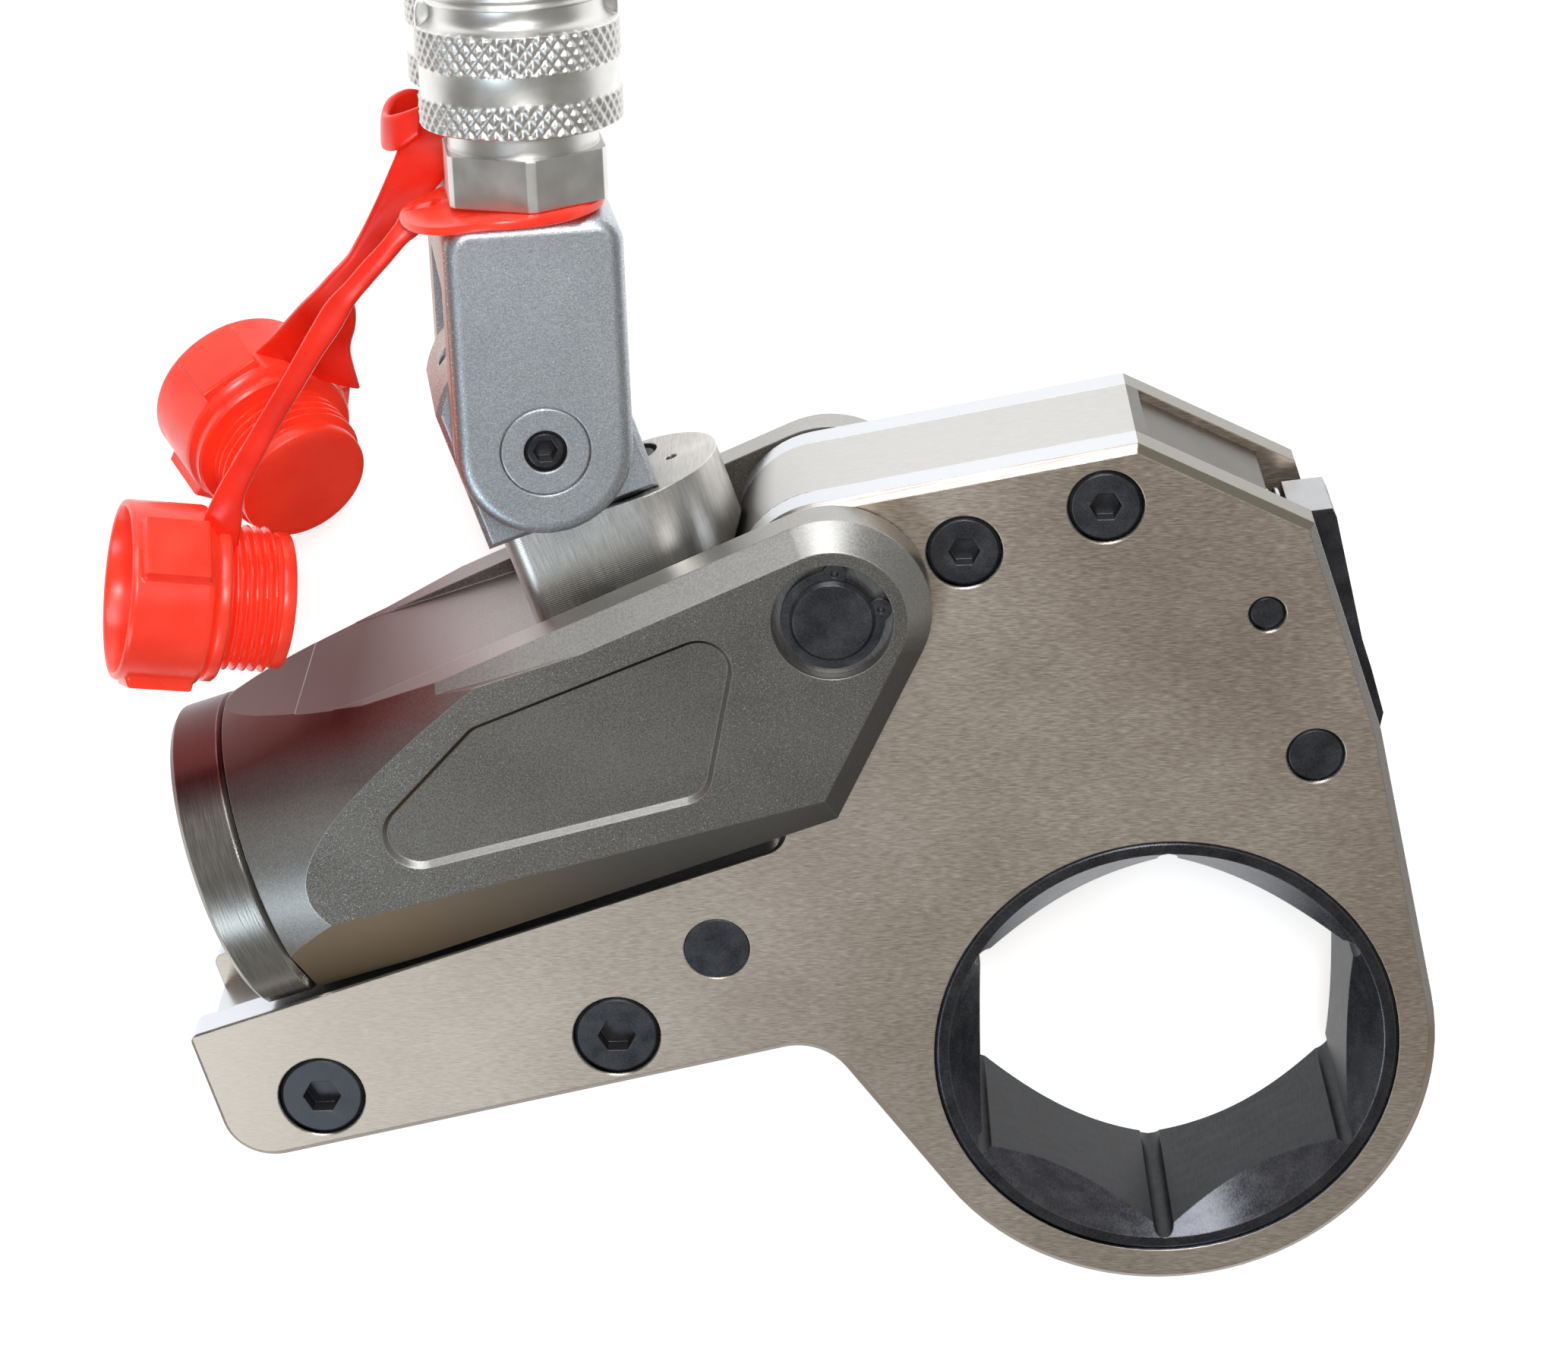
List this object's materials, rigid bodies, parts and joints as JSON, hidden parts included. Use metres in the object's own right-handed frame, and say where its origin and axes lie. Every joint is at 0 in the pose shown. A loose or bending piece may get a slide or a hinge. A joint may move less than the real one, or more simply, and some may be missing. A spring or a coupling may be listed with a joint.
{
  "type": "hydraulic torque wrench",
  "caption": "Low-profile hydraulic torque wrench: hexagon ratchet cassette with reaction arm, pinned to a cylinder head with a tilting swivel, screw couplers and red dust caps.",
  "frame": {"origin": "on the axis of the hexagon bore, halfway through the cassette's thickness", "axes": "+X towards the tool's nose, +Y up its back towards the swivel, +Z out of the near side plate along the hexagon's axis"},
  "size_m": [0.1921, 0.2149, 0.0669],
  "materials": {
    "plate_steel": "brushed and lightly oiled, bright bevels",
    "blasted_steel": "bead-blasted satin",
    "turned_steel": "bright turned",
    "swivel_steel": "fine blasted satin",
    "zinc_steel": "bright zinc plate",
    "black_steel": "black oxide",
    "ground_steel": "ground and polished",
    "bronze": "plain bearing bronze",
    "seal_rubber": "moulded",
    "red_plastic": "glossy, slightly translucent moulding"
  },
  "bodies": {
    "power_head": {"cylinder_body": "blasted_steel", "end_cap": "turned_steel", "cap_seal": "seal_rubber", "rod_gland": "bronze", "rod_seal": "seal_rubber", "ear_bush_near": "black_steel", "ear_bush_far": "black_steel", "link_pin": "black_steel", "retaining_ring_near": "black_steel", "retaining_ring_far": "black_steel", "swivel_base": "turned_steel", "base_screws": "black_steel", "port_plug": "black_steel", "side_plate_near": "plate_steel", "side_plate_far": "plate_steel", "top_spacer": "plate_steel", "arm_block": "plate_steel", "top_screws": "black_steel", "arm_screws": "black_steel", "arm_dowel": "black_steel", "stop_pin": "black_steel", "hold_pawl_pin": "black_steel", "cassette_bush": "bronze", "holding_pawl_spring": "ground_steel"},
    "piston": {"piston": "ground_steel", "piston_seal": "seal_rubber", "piston_rod": "ground_steel"},
    "drive_lever": {"drive_lever_near": "ground_steel", "drive_lever_far": "ground_steel", "lever_spacer": "ground_steel", "lever_rivets": "ground_steel", "lever_pin": "ground_steel", "drive_pawl_pin": "ground_steel", "drive_pawl_spring": "ground_steel"},
    "drive_pawl": {"drive_pawl": "ground_steel"},
    "holding_pawl": {"holding_pawl": "black_steel"},
    "ratchet_wheel": {"ratchet_wheel": "black_steel"},
    "swivel": {"swivel_post": "swivel_steel", "post_ring": "ground_steel", "tilt_seals": "seal_rubber"},
    "manifold": {"manifold_block": "swivel_steel", "tilt_shaft": "swivel_steel", "tilt_screws": "black_steel", "coupler_body_near": "zinc_steel", "coupler_body_far": "zinc_steel", "probe_near": "turned_steel", "probe_far": "turned_steel", "snap_ring_near": "ground_steel", "snap_ring_far": "ground_steel", "dust_cap_near": "red_plastic", "dust_cap_far": "red_plastic"},
    "collar_near": {"coupler_collar_near": "zinc_steel"},
    "collar_far": {"coupler_collar_far": "zinc_steel"}
  },
  "joints": [
    {"name": "piston_stroke", "type": "slide", "parent": "power_head", "child": "piston", "axis": [0.9537, 0.3007, 0], "range_m": [0, 0.02168]},
    {"name": "lever_swing", "type": "hinge", "parent": "power_head", "child": "drive_lever", "pos_m": [0, 0, 0], "axis": [0, 0, -1], "range_deg": [0, 18]},
    {"name": "drive_pawl_engage", "type": "hinge", "parent": "drive_lever", "child": "drive_pawl", "pos_m": [-0.03281, 0.02856, 0], "axis": [0, 0, -1], "range_deg": [0, 5.6], "deforming": ["drive_pawl_spring"]},
    {"name": "holding_pawl_engage", "type": "hinge", "parent": "power_head", "child": "holding_pawl", "pos_m": [0.021, 0.0477, 0], "axis": [0, 0, -1], "range_deg": [0, 5.4], "deforming": ["holding_pawl_spring"]},
    {"name": "ratchet_spin", "type": "hinge", "parent": "power_head", "child": "ratchet_wheel", "pos_m": [0, 0, 0], "axis": [0, 0, 1], "continuous": true},
    {"name": "swivel_turn", "type": "hinge", "parent": "power_head", "child": "swivel", "pos_m": [-0.09026, 0.09873, 0], "axis": [-0.3007, 0.9537, 0], "continuous": true, "deforming": ["dust_cap_near", "dust_cap_far"]},
    {"name": "swivel_tilt", "type": "hinge", "parent": "swivel", "child": "manifold", "pos_m": [-0.09026, 0.09873, 0], "axis": [0.1492, 0.047, 0.9877], "range_deg": [-72.5, 107.5], "deforming": ["dust_cap_near", "dust_cap_far"]},
    {"name": "collar_spin_near", "type": "hinge", "parent": "manifold", "child": "collar_near", "pos_m": [-0.0883, 0.15935, 0.0116], "axis": [-0.0035, 0.9989, -0.047], "continuous": true},
    {"name": "collar_spin_far", "type": "hinge", "parent": "manifold", "child": "collar_far", "pos_m": [-0.09266, 0.15797, -0.01724], "axis": [-0.0035, 0.9989, -0.047], "continuous": true}
  ],
  "couplings": [
    {"joint": "lever_swing", "follows": "piston_stroke", "rad_per_m": 14.493}
  ]
}
